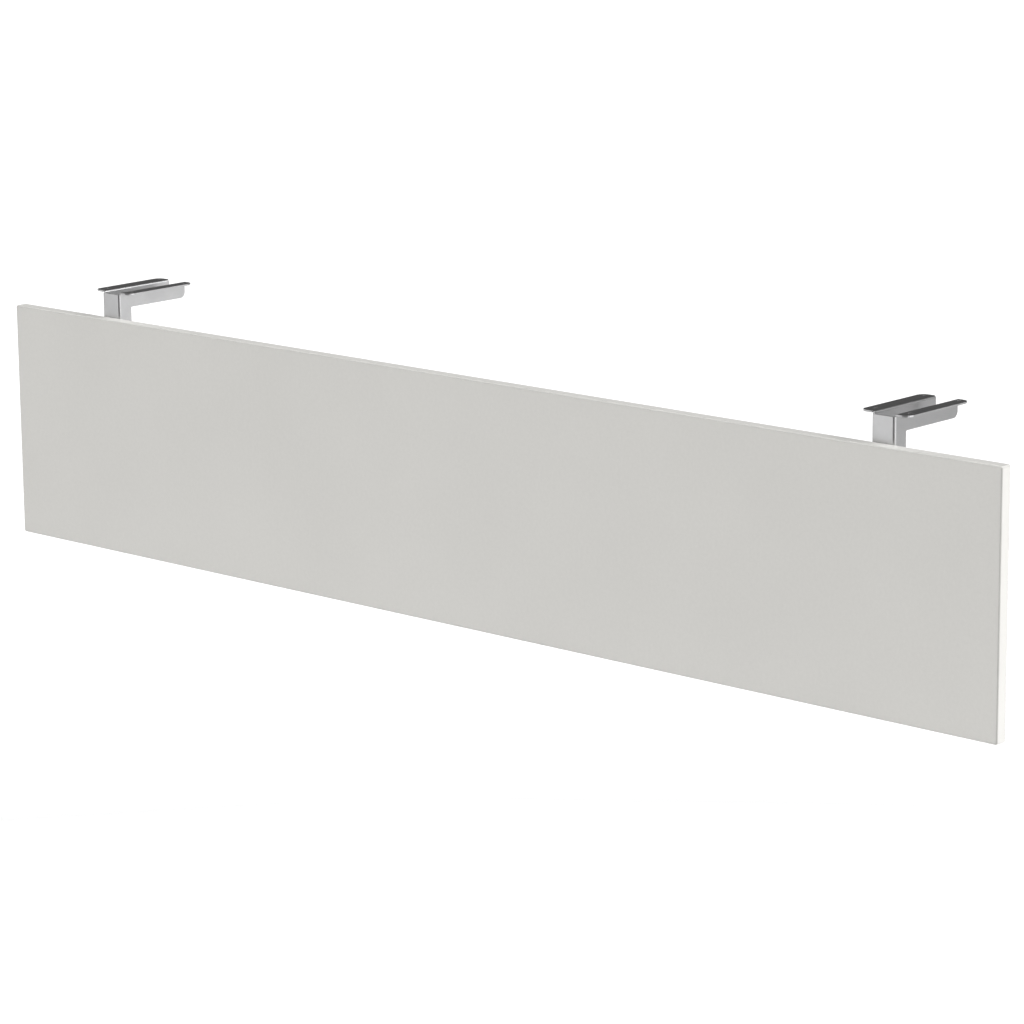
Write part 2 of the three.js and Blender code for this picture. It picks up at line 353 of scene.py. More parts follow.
@dataclass(frozen=True)
class PlatedSteel(Finish):
    """Bright plating over rolled or sheared steel."""

    smoothest: float = 0.28
    roughest: float = 0.32
    grain_scale: float = 1500.0
    grain_stretch: float = 0.06
    grain_depth: float = 0.0003 * MM
    ripple_scale: float = 70.0
    ripple_depth: float = 0.001 * MM
    handling_scale: float = 28.0

    def paint(self, shader: Shader) -> None:
        """Faint rolling grain, slow ripples in the plating and small changes of gloss and tone.

        Args:
            shader: Shader of a new material.
        """
        rolled = shader.stretched((1.0, 1.0, self.grain_stretch))
        grain = shader.noise(self.grain_scale, 3.0, 0.6, rolled)
        ripple = shader.noise(self.ripple_scale)
        handled = shader.noise(self.handling_scale, 4.0, 0.65)
        tone = shader.spread(handled, 0.0, 1.0)
        shader.link(shader.between(tone, self.shade(-0.05), self.shade(0.04)), "Base Color")
        shader.link(shader.spread(handled, self.roughest, self.smoothest), "Roughness")
        share = self.grain_depth / self.ripple_depth
        height = shader.total(shader.spread(grain, 0.0, share, 0.0, 1.0), ripple)
        shader.relief(height, self.ripple_depth)
        shader.set(metallic=1.0)


@dataclass(frozen=True)
class ZincSteel(Finish):
    """Zinc-plated hardware, turned or pressed, with a slightly spangled surface."""

    smoothest: float = 0.29
    roughest: float = 0.42
    spangle_scale: float = 1800.0
    cloud_scale: float = 300.0
    cloud_depth: float = 0.008 * MM

    def paint(self, shader: Shader) -> None:
        """Fine spangle and clouded gloss.

        Args:
            shader: Shader of a new material.
        """
        spangle = shader.cells(self.spangle_scale)
        cloud = shader.noise(self.cloud_scale, 4.0, 0.6)
        tone = shader.spread(shader.total(spangle, cloud), 0.0, 1.0, 0.5, 1.5)
        shader.link(shader.between(tone, self.shade(-0.12), self.shade(0.1)), "Base Color")
        shader.link(shader.spread(cloud, self.smoothest, self.roughest), "Roughness")
        shader.relief(cloud, self.cloud_depth)
        shader.set(metallic=1.0)


@dataclass(frozen=True)
class TurnedBrass(Finish):
    """Brass as it comes from the lathe, a little tarnished."""

    smoothest: float = 0.28
    roughest: float = 0.45
    tarnish_scale: float = 400.0
    mark_scale: float = 6000.0
    mark_stretch: float = 0.05
    mark_depth: float = 0.006 * MM

    def paint(self, shader: Shader) -> None:
        """Tarnish in clouds and fine turning marks.

        Args:
            shader: Shader of a new material.
        """
        tarnish = shader.spread(shader.noise(self.tarnish_scale, 4.0, 0.6), 0.0, 1.0)
        turning = shader.stretched((self.mark_stretch, 1.0, self.mark_stretch))
        marks = shader.noise(self.mark_scale, 2.0, 0.5, turning)
        shader.link(shader.between(tarnish, self.shade(-0.3), self.shade(0.1)), "Base Color")
        shader.link(shader.spread(marks, self.smoothest, self.roughest), "Roughness")
        shader.relief(marks, self.mark_depth)
        shader.set(metallic=1.0)


@dataclass(frozen=True)
class Chipboard(Finish):
    """Pressed wood chips, paler and darker, with open pores between them."""

    chip_scale: float = 420.0
    dust_scale: float = 1300.0
    flatness: float = 3.0
    pore_depth: float = 0.25 * MM

    def paint(self, shader: Shader) -> None:
        """Flat chips of many tones in a finer ground.

        Args:
            shader: Shader of a new material.
        """
        flat = shader.stretched((1.0, self.flatness, 1.0))
        chips = shader.total(shader.cells(self.chip_scale, flat), shader.cells(self.dust_scale, flat))
        tone = shader.spread(chips, 0.0, 1.0, 0.3, 1.7)
        shader.link(shader.between(tone, self.shade(-0.45), self.shade(0.35)), "Base Color")
        shader.link(shader.spread(chips, 0.75, 0.95, 0.0, 2.0), "Roughness")
        shader.relief(chips, self.pore_depth)


class Finishes:
    """The finishes of the panel."""

    FACING = Melamine("Pearl melamine", (0.66, 0.651, 0.622))
    BAND_LONG = EdgeBand("Edge band along", (0.66, 0.652, 0.628))
    BAND_UPRIGHT = EdgeBand("Edge band upright", (0.66, 0.652, 0.628), along=Axis.Z)
    ARRIS_LONG = EdgeBand("Scraped arris along", (0.65, 0.642, 0.618), scraped=1.0)
    # Upright arris colour sits well below the band's: painted shade along the upright edges, on a duller
    # scraped surface
    ARRIS_UPRIGHT_SHADED = EdgeBand("Scraped arris upright with painted shade", (0.48, 0.473, 0.454), along=Axis.Z, scraped=1.0)
    BRACKET = PlatedSteel("Bright plated sheet", (0.54, 0.54, 0.543))
    SHEARED = PlatedSteel(
        "Sheared plated edge", (0.52, 0.52, 0.523), 0.3, 0.42, grain_stretch=1.0, ripple_depth=0.006 * MM
    )
    # Hole walls take about half the sheet's colour: painted shade inside the desk holes, on a rougher
    # punched surface
    HOLE_WALL_SHADED = PlatedSteel(
        "Punched plated hole with painted shade", (0.26, 0.26, 0.262), 0.42, 0.55, grain_stretch=1.0, ripple_depth=0.006 * MM
    )
    ZINC = ZincSteel("Zinc hardware", (0.6, 0.61, 0.63))
    BRASS = TurnedBrass("Turned brass", (0.62, 0.46, 0.2))
    CHIPS = Chipboard("Chipboard", (0.45, 0.33, 0.2))


# ---- Modelling helpers ----


def block(low: Vector, high: Vector) -> BMesh:
    """Box between two corners.

    Args:
        low: Lowest corner.
        high: Highest corner.

    Returns:
        The box as a new mesh.
    """
    mesh = bmesh.new()
    made = bmesh.ops.create_cube(mesh, size=1.0)
    bmesh.ops.scale(mesh, vec=high - low, verts=made["verts"])
    bmesh.ops.translate(mesh, vec=(low + high) / 2.0, verts=made["verts"])
    return mesh


def rod(radius: float, start: Vector, end: Vector, segments: int = 32) -> BMesh:
    """Round rod between two points.

    Args:
        radius: Radius of the rod.
        start: Middle of one end.
        end: Middle of the other end.
        segments: Sides of the rod.

    Returns:
        The rod as a new mesh.
    """
    mesh = bmesh.new()
    along = end - start
    turn = Vector((0.0, 0.0, 1.0)).rotation_difference(along).to_matrix().to_4x4()
    bmesh.ops.create_cone(
        mesh,
        cap_ends=True,
        segments=segments,
        radius1=radius,
        radius2=radius,
        depth=along.length,
        matrix=Matrix.Translation((start + end) / 2.0) @ turn,
    )
    return mesh


def turned(profile: Sequence[tuple[float, float]], segments: int = 48) -> BMesh:
    """Turn a (radius, y) outline about the Y axis.

    Args:
        profile: Points of the outline. It starts and ends on the axis, or closes on itself.
        segments: Steps of the turn.

    Returns:
        The turned body as a new mesh, with its faces outwards.
    """
    mesh = bmesh.new()
    verts = [mesh.verts.new((radius, y, 0.0)) for radius, y in profile]
    edges = [mesh.edges.new(pair) for pair in zip(verts, verts[1:])]
    bmesh.ops.spin(
        mesh,
        geom=verts + edges,
        cent=(0.0, 0.0, 0.0),
        axis=Axis.Y.unit,
        dvec=(0.0, 0.0, 0.0),
        angle=2.0 * math.pi,
        steps=segments,
        use_merge=True,
    )
    bmesh.ops.remove_doubles(mesh, verts=mesh.verts, dist=TOUCH)
    bmesh.ops.recalc_face_normals(mesh, faces=mesh.faces)
    return mesh


def round_edges(mesh: BMesh, edges: Iterable[BMEdge], radius: float, segments: int) -> None:
    """Round edges of a mesh.

    Args:
        mesh: Mesh to change.
        edges: Edges to round.
        radius: Radius of the round.
        segments: Steps across the round.
    """
    bmesh.ops.bevel(
        mesh,
        geom=list(edges),
        offset=radius,
        offset_type="OFFSET",
        affect="EDGES",
        segments=segments,
        profile=0.5,
        material=-1,
    )


def edges_near(mesh: BMesh, along: Axis, **places: float) -> list[BMEdge]:
    """Edges that run along an axis and pass through given places of the other two.

    Args:
        mesh: Mesh to search.
        along: Direction of the edges.
        **places: Coordinates by axis name, such as y=0.1. Only their size counts, not their sign.

    Returns:
        The edges found.
    """
    found = []
    for edge in mesh.edges:
        start, end = (vert.co for vert in edge.verts)
        direction = (end - start).normalized()
        if abs(direction.dot(along.unit)) < 0.999:
            continue
        if all(abs(abs(getattr(start, name)) - abs(value)) < TOUCH for name, value in places.items()):
            found.append(edge)
    return found


def with_rims(faces: Sequence[BMFace]) -> list[BMVert | BMEdge | BMFace]:
    """Faces with their edges and vertices, once each.

    Args:
        faces: Faces of one mesh.

    Returns:
        The vertices, then the edges, then the faces.
    """
    edges = dict.fromkeys(edge for face in faces for edge in face.edges)
    verts = dict.fromkeys(vert for face in faces for vert in face.verts)
    return [*verts, *edges, *faces]


def grow(mesh: BMesh, faces: Sequence[BMFace], shift: Vector) -> None:
    """Extrude faces, which leaves no face behind inside a solid.

    Args:
        mesh: Mesh of the faces.
        faces: Faces to extrude.
        shift: How far they move.
    """
    made = bmesh.ops.extrude_face_region(mesh, geom=with_rims(faces))
    verts = [item for item in made["geom"] if isinstance(item, BMVert)]
    bmesh.ops.translate(mesh, vec=shift, verts=verts)


def rank(verts: Sequence[BMVert]) -> float:
    """How far the middle of some vertices lies along the slanted line that orders a mesh."""
    return sum((vert.co for vert in verts), Vector()).dot(SLANT) / len(verts)


def settle(mesh: BMesh) -> None:
    """Put the parts of a mesh in the order of their places, so that every run ends alike.

    Args:
        mesh: Mesh to put in order.
    """
    mesh.verts.sort(key=lambda vert: rank([vert]))
    mesh.edges.sort(key=lambda edge: rank(edge.verts))
    mesh.faces.sort(key=lambda face: rank(face.verts))


def settled(mesh: BMesh, name: str) -> Mesh:
    """Mesh data of a mesh, with its parts in order.

    Args:
        mesh: Mesh of the data. It is used up.
        name: Name of the data.

    Returns:
        The mesh data.
    """
    settle(mesh)
    data = bpy.data.meshes.new(name)
    mesh.to_mesh(data)
    mesh.free()
    return data


def temporary(mesh: BMesh) -> Object:
    """Scene object of a mesh, for as long as a cut needs it.

    Args:
        mesh: Mesh of the object. It is used up.

    Returns:
        The object.
    """
    made = bpy.data.objects.new("cut", settled(mesh, "cut"))
    bpy.context.scene.collection.objects.link(made)
    return made


def cut(body: BMesh, tools: Sequence[BMesh]) -> BMesh:
    """Cut tools out of a body.

    Args:
        body: Body to cut. It is used up.
        tools: Closed meshes to cut away. They are used up.

    Returns:
        What is left of the body, as a new mesh.
    """
    target = temporary(body)
    helpers = [temporary(tool) for tool in tools]
    for helper in helpers:
        step = target.modifiers.new("cut", "BOOLEAN")
        step.operation = "DIFFERENCE"
        step.solver = "EXACT"
        step.object = helper
    bpy.context.view_layer.update()
    shaped = target.evaluated_get(bpy.context.evaluated_depsgraph_get())
    result = bmesh.new()
    result.from_mesh(shaped.to_mesh())
    shaped.to_mesh_clear()
    for used in [target, *helpers]:
        data = used.data
        bpy.data.objects.remove(used)
        bpy.data.meshes.remove(data)
    bmesh.ops.remove_doubles(result, verts=result.verts, dist=TOUCH)
    return result


@dataclass(frozen=True)
class Easing:
    """Small round on the sharp edges of a finished piece."""

    width: float = 0.25 * MM
    segments: int = 2
    angle: float = math.radians(35.0)

    def apply(self, piece: Object) -> None:
        """Add the round.

        Args:
            piece: Finished object.
        """
        round_off = piece.modifiers.new("Eased edges", "BEVEL")
        round_off.width = self.width
        round_off.segments = self.segments
        round_off.limit_method = "ANGLE"
        round_off.angle_limit = self.angle
        round_off.harden_normals = True


@dataclass(frozen=True)
class Pick:
    """A finish and the faces that take it."""

    finish: Finish
    takes: Callable[[BMFace], bool]


def hand_over(
    mesh: BMesh,
    name: str,
    nodes: Sequence[str],
    finish: Finish,
    picks: Sequence[Pick] = (),
    easing: Easing | None = None,
) -> Object:
    """Make the finished object of a mesh and tie it to the frame.

    Args:
        mesh: Finished mesh in its place in the frame. It is used up.
        name: Name of the piece.
        nodes: CAD nodes that the piece stands for.
        finish: Finish of most faces.
        picks: Other finishes and the faces that take them.
        easing: Small round on its sharp edges.

    Returns:
        The piece.
    """
    mesh.normal_update()
    for face in mesh.faces:
        face.smooth = max(abs(part) for part in face.normal) < SQUARE
        chosen = [place for place, pick in enumerate(picks, start=1) if pick.takes(face)]
        face.material_index = chosen[0] if chosen else 0
    data = settled(mesh, name)
    for used in [finish, *(pick.finish for pick in picks)]:
        data.materials.append(used.material())
    piece = bpy.data.objects.new(name, data)
    bpy.context.scene.collection.objects.link(piece)
    if easing is not None:
        easing.apply(piece)
    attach(piece, "root")
    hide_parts(*nodes)
    LOG.info("%s: %d faces", name, len(data.polygons))
    return piece


# ---- Board ----


@dataclass
class Board:
    """Chipboard core, two melamine facings and four edge bands."""

    band: float = 2.0 * MM
    glue_line: float = 0.1 * MM
    arris: float = 1.5 * MM
    corner: float = 2.5 * MM
    arris_steps: int = 6
    corner_steps: int = 8
    insert_hole: float = 5.1 * MM
    overcut: float = 1.0 * MM
    slant_least: float = 0.05
    slant_most: float = 0.995
    band_easing: Easing = Easing(0.08 * MM)
    facing_easing: Easing = Easing(0.06 * MM)

    def __post_init__(self) -> None:
        """Take the outside of the board from its bands."""
        boxes = [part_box(f"edge_band_{part}") for part in ("left", "right", "top", "bottom")]
        self.low = Vector([min(box[0][axis] for box in boxes) for axis in range(3)])
        self.high = Vector([max(box[1][axis] for box in boxes) for axis in range(3)])

    def blank(self) -> BMesh:
        """Whole board with round corners and a round arris along every edge.

        Returns:
            The board as one solid.
        """
        mesh = block(self.low, self.high)
        round_edges(mesh, edges_near(mesh, Axis.Y), self.corner, self.corner_steps)
        outline = [
            edge
            for edge in mesh.edges
            if all(abs(vert.co.y - edge.verts[0].co.y) < TOUCH for vert in edge.verts)
        ]
        round_edges(mesh, outline, self.arris, self.arris_steps)
        return mesh

    @staticmethod
    def keep(mesh: BMesh, point: Vector, away: Vector) -> None:
        """Cut a mesh along a plane and close it, keeping the side that away doesn't point to.

        Args:
            mesh: Mesh to cut.
            point: Point on the plane.
            away: Normal of the plane, towards the part that is dropped.
        """
        made = bmesh.ops.bisect_plane(
            mesh,
            geom=[*mesh.verts, *mesh.edges, *mesh.faces],
            dist=TOUCH * 0.1,
            plane_co=point,
            plane_no=away,
            clear_outer=True,
        )
        rim = [item for item in made["geom_cut"] if isinstance(item, BMEdge)]
        bmesh.ops.holes_fill(mesh, edges=rim, sides=0)

    def on_arris(self, face: BMFace) -> bool:
        """Whether a face of a band lies on the round arris between its face and its edge."""
        return self.slant_least < abs(face.normal.y) < self.slant_most

    def build_bands(self) -> None:
        """Upright bands first, then the long ones that cover their ends."""
        across = Axis.X.unit
        up = Axis.Z.unit
        inner_low = self.low + Vector((self.band, 0.0, self.band))
        inner_high = self.high - Vector((self.band, 0.0, self.band))
        room = Vector((0.0, 0.0, self.glue_line))
        planes = {
            "left": [(inner_low, across), (inner_high - room, up), (inner_low + room, -up)],
            "right": [(inner_high, -across), (inner_high - room, up), (inner_low + room, -up)],
            "top": [(inner_high, -up)],
            "bottom": [(inner_low, up)],
        }
        for part, cuts in planes.items():
            mesh = self.blank()
            for point, away in cuts:
                self.keep(mesh, point, away)
            bmesh.ops.recalc_face_normals(mesh, faces=mesh.faces)
            upright = part in ("left", "right")
            finish = Finishes.BAND_UPRIGHT if upright else Finishes.BAND_LONG
            # The upright arris finish carries painted shade; the long arris is only scraped
            arris = Finishes.ARRIS_UPRIGHT_SHADED if upright else Finishes.ARRIS_LONG
            hand_over(
                mesh,
                f"edge_band_{part}_fine",
                [f"edge_band_{part}"],
                finish,
                [Pick(arris, self.on_arris)],
                self.band_easing,
            )

    def build_facings(self, holes: Sequence[Vector]) -> None:
        """Melamine sheets, the back one with its insert holes.

        Args:
            holes: Where the middle line of each insert hole meets the back face.
        """
        for part in ("front", "back"):
            low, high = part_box(f"face_sheet_{part}")
            mesh = block(low, high)
            if part == "back":
                reach = Axis.Y.unit * self.overcut
                mesh = cut(mesh, [rod(self.insert_hole, hole - reach, hole + reach) for hole in holes])
            hand_over(
                mesh,
                f"face_sheet_{part}_fine",
                [f"face_sheet_{part}"],
                Finishes.FACING,
                easing=self.facing_easing,
            )

    def dress_core(self) -> None:
        """Chipboard finish on the core, which is kept as it is."""
        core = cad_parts["board_core"]
        core.data.materials.clear()
        core.data.materials.append(Finishes.CHIPS.material())
        LOG.info("board_core: dressed")

    def build(self, holes: Sequence[Vector]) -> None:
        """Build every layer of the board.

        Args:
            holes: Where the middle line of each insert hole meets the back face.
        """
        self.dress_core()
        self.build_facings(holes)
        self.build_bands()


# ---- Bracket ----


@dataclass
class Bracket:
    """One folded sheet: a web behind the board, two L-shaped cheeks and two outward flanges."""

    side: Side
    sheet: float = 2.0 * MM
    bend_inside: float = 1.0 * MM
    bend_steps: int = 16
    channel: float = 32.0 * MM
    cheek: float = 21.0 * MM
    flange_front: float = 1.5 * MM
    flange_bend_front: float = 3.5 * MM
    flange_corner: float = 10.0 * MM
    cheek_corner: float = 8.0 * MM
    inner_corner: float = 1.5 * MM
    corner_steps: int = 12
    web_hole: float = 3.4 * MM
    desk_hole: float = 3.0 * MM
    desk_hole_from_cheek: float = 7.5 * MM
    desk_hole_from_front: float = 16.0 * MM
    desk_hole_from_end: float = 8.0 * MM
    easing: Easing = Easing()

    def __post_init__(self) -> None:
        """Take the outside sizes from the frame."""
        low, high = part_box(f"bracket_{self.side.value}")
        self.middle = (low.x + high.x) / 2.0
        self.tip = (high.x - low.x) / 2.0
        self.reach = high.y
        self.bottom = low.z
        self.bend = self.bend_inside + self.sheet

    @property
    def fixing_places(self) -> list[Vector]:
        """Where each screw's middle line meets the front of the web."""
        boxes = [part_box(f"screw_{self.side.value}_{number}") for number in (1, 2, 3)]
        return [Vector((self.middle, 0.0, (low.z + high.z) / 2.0)) for low, high in boxes]

    def half_section(self) -> BMesh:
        """Plan section of half the web and one cheek, as a strip of faces at the foot of the leg.

        Returns:
            The strip, from the middle of the web to the back of the cheek.
        """
        mesh = bmesh.new()
        foot = self.bottom
        start = [mesh.verts.new((0.0, y, foot)) for y in (0.0, self.sheet)]
        edge = mesh.edges.new(start)
        flat = self.channel / 2.0 - self.bend
        edge = self.push_edge(mesh, edge, Vector((flat, 0.0, 0.0)))
        made = bmesh.ops.spin(
            mesh,
            geom=[*edge.verts, edge],
            cent=(flat, self.bend, foot),
            axis=Axis.Z.unit,
            dvec=(0.0, 0.0, 0.0),
            angle=math.pi / 2.0,
            steps=self.bend_steps,
        )
        edge = next(item for item in made["geom_last"] if isinstance(item, BMEdge))
        for y_from, y_to in ((self.bend, self.flange_bend_front), (self.flange_bend_front, self.cheek)):
            edge = self.push_edge(mesh, edge, Vector((0.0, y_to - y_from, 0.0)))
        return mesh

    @staticmethod
    def push_edge(mesh: BMesh, edge: BMEdge, shift: Vector) -> BMEdge:
        """Extrude one edge.

        Args:
            mesh: Mesh of the edge.
            edge: Edge to extrude.
            shift: How far it moves.

        Returns:
            The edge at the far side.
        """
        made = bmesh.ops.extrude_edge_only(mesh, edges=[edge])
        verts = [item for item in made["geom"] if isinstance(item, BMVert)]
        bmesh.ops.translate(mesh, vec=shift, verts=verts)
        edges = [item for item in made["geom"] if isinstance(item, BMEdge)]
        return next(item for item in edges if set(item.verts) == set(verts))

    def half_body(self) -> BMesh:
        """Half the bracket: leg, arm, flange bend and flange.

        Returns:
            Half the folded sheet on the +X side, open where the web is cut in two.
        """
        mesh = self.half_section()
        leg_top = -self.cheek
        bend_foot = -self.bend
        grow(mesh, list(mesh.faces), Vector((0.0, 0.0, leg_top - self.bottom)))
        grow(mesh, self.faces_at(mesh, Axis.Z, leg_top), Vector((0.0, 0.0, bend_foot - leg_top)))
        arm_root = self.faces_at(mesh, Axis.Y, self.cheek, lambda middle: middle.z > leg_top)
        grow(mesh, arm_root, Vector((0.0, self.reach - self.cheek, 0.0)))
        arm_top = self.faces_at(mesh, Axis.Z, bend_foot, lambda middle: middle.y > self.flange_bend_front)
        outer = self.channel / 2.0
        bmesh.ops.spin(
            mesh,
            geom=with_rims(arm_top),
            cent=(outer + self.bend_inside, 0.0, bend_foot),
            axis=Axis.Y.unit,
            dvec=(0.0, 0.0, 0.0),
            angle=math.pi / 2.0,
            steps=self.bend_steps,
        )
        bend_end = outer + self.bend_inside
        grow(mesh, self.faces_at(mesh, Axis.X, bend_end), Vector((self.tip - bend_end, 0.0, 0.0)))
        front = self.faces_at(mesh, Axis.Y, self.flange_bend_front, lambda middle: middle.x > bend_end)
        grow(mesh, front, Vector((0.0, self.flange_front - self.flange_bend_front, 0.0)))
        seam = self.faces_at(mesh, Axis.X, 0.0)
        bmesh.ops.delete(mesh, geom=seam, context="FACES")
        return mesh

    @staticmethod
    def faces_at(
        mesh: BMesh, axis: Axis, place: float, also: Callable[[Vector], bool] = lambda middle: True
    ) -> list[BMFace]:
        """Faces that lie flat at a place along an axis.

        Args:
            mesh: Mesh to search.
            axis: Axis that the faces stand square to.
            place: Where they cut the axis.
            also: Further test of the middle of a face.

        Returns:
            The faces found.
        """
        found = []
        for face in mesh.faces:
            flat = all(abs(vert.co[axis.value] - place) < TOUCH for vert in face.verts)
            if flat and also(face.calc_center_median()):
                found.append(face)
        return found

    @property
    def desk_holes(self) -> list[Vector]:
        """Where the desk holes are, in the bracket's own place around x = 0.

        Returns:
            The middle of each hole.
        """
        across = self.channel / 2.0 + self.desk_hole_from_cheek
        depths = (self.flange_front + self.desk_hole_from_front, self.reach - self.desk_hole_from_end)
        return [Vector((x, y, -self.sheet / 2.0)) for x in (-across, across) for y in depths]

    def holes(self) -> list[BMesh]:
        """Rods that cut the web holes and the desk holes.

        Returns:
            One rod for each hole, in the bracket's own place around x = 0.
        """
        through = 2.0 * self.sheet
        rods = []
        for place in self.fixing_places:
            middle = Vector((0.0, self.sheet / 2.0, place.z))
            rods.append(rod(self.web_hole, middle - Axis.Y.unit * through, middle + Axis.Y.unit * through))
        for middle in self.desk_holes:
            rods.append(rod(self.desk_hole, middle - Axis.Z.unit * through, middle + Axis.Z.unit * through))
        return rods

    def is_hole_wall(self, face: BMFace) -> bool:
        """Whether a face is part of the wall of a desk hole."""
        middle = face.calc_center_median()
        return any((middle - hole).length < self.desk_hole + TOUCH for hole in self.desk_holes)

    def is_skin(self, face: BMFace) -> bool:
        """Whether a face is part of the rolled skin of the sheet, not of its sheared edge.

        Args:
            face: Face of the bracket, in its own place around x = 0.

        Returns:
            True on the skin and on the bends.
        """
        normal = face.normal
        middle = face.calc_center_median()
        if max(abs(part) for part in normal) < SQUARE:
            on_bend_up = -self.bend < middle.z < -TOUCH and abs(normal.y) < 0.01
            on_bend_side = middle.y < self.bend and abs(normal.z) < 0.01
            return on_bend_up or on_bend_side
        skins = {
            Axis.X: (self.channel / 2.0, self.channel / 2.0 - self.sheet),
            Axis.Y: (0.0, self.sheet),
            Axis.Z: (0.0, -self.sheet),
        }
        for axis, places in skins.items():
            if abs(normal[axis.value]) > SQUARE:
                place = middle[axis.value]
                place = abs(place) if axis is Axis.X else place
                return any(abs(place - skin) < TOUCH for skin in places)
        return False

    def build(self) -> None:
        """Fold, trim, pierce and dress the bracket."""
        mesh = self.half_body()
        bmesh.ops.mirror(
            mesh,
            geom=[*mesh.verts, *mesh.edges, *mesh.faces],
            matrix=Matrix.Identity(4),
            merge_dist=TOUCH,
            axis="X",
        )
        bmesh.ops.remove_doubles(mesh, verts=mesh.verts, dist=TOUCH)
        bmesh.ops.recalc_face_normals(mesh, faces=mesh.faces)
        settle(mesh)
        bmesh.ops.dissolve_limit(
            mesh,
            angle_limit=math.radians(0.5),
            use_dissolve_boundaries=False,
            verts=list(mesh.verts),
            edges=list(mesh.edges),
        )
        settle(mesh)
        plan_corners = [
            edge
            for y in (self.flange_front, self.reach)
            for edge in edges_near(mesh, Axis.Z, x=self.tip, y=y)
        ]
        round_edges(mesh, plan_corners, self.flange_corner, self.corner_steps)
        lower_corners = edges_near(mesh, Axis.X, y=self.reach, z=self.cheek)
        lower_corners += edges_near(mesh, Axis.X, y=self.cheek, z=self.bottom)
        round_edges(mesh, lower_corners, self.cheek_corner, self.corner_steps)
        inner_corners = edges_near(mesh, Axis.X, y=self.cheek, z=self.cheek)
        round_edges(mesh, inner_corners, self.inner_corner, self.bend_steps // 2)
        mesh = cut(mesh, self.holes())
        mesh.normal_update()
        mesh.faces.index_update()
        # Walls of the desk holes, which take the painted shade
        hole_shade = [self.is_hole_wall(face) for face in mesh.faces]
        sheared = [not self.is_skin(face) for face in mesh.faces]
        bmesh.ops.translate(mesh, vec=(self.middle, 0.0, 0.0), verts=mesh.verts)
        name = f"bracket_{self.side.value}"
        hand_over(
            mesh,
            f"{name}_fine",
            [name],
            Finishes.BRACKET,
            [
                Pick(Finishes.HOLE_WALL_SHADED, lambda face: hole_shade[face.index]),
                Pick(Finishes.SHEARED, lambda face: sheared[face.index]),
            ],
            self.easing,
        )


# ---- Fixings ----


@dataclass(frozen=True)
class Thread:
    """Outside thread, shaped as one ring for each turn."""

    crest: float
    root: float
    pitch: float
    crest_from: float
    crest_to: float
    root_from: float

    def outline(self, start: float, turns: int) -> list[tuple[float, float]]:
        """Crests and roots of a run of turns.

        Args:
            start: Where the first turn starts along Y.
            turns: Number of turns.

        Returns:
            Points of (radius, y).
        """
        points = []
        for turn in range(turns):
            foot = start + turn * self.pitch
            points.append((self.crest, foot + self.crest_from * self.pitch))
            points.append((self.crest, foot + self.crest_to * self.pitch))
            points.append((self.root, foot + self.root_from * self.pitch))
        return points


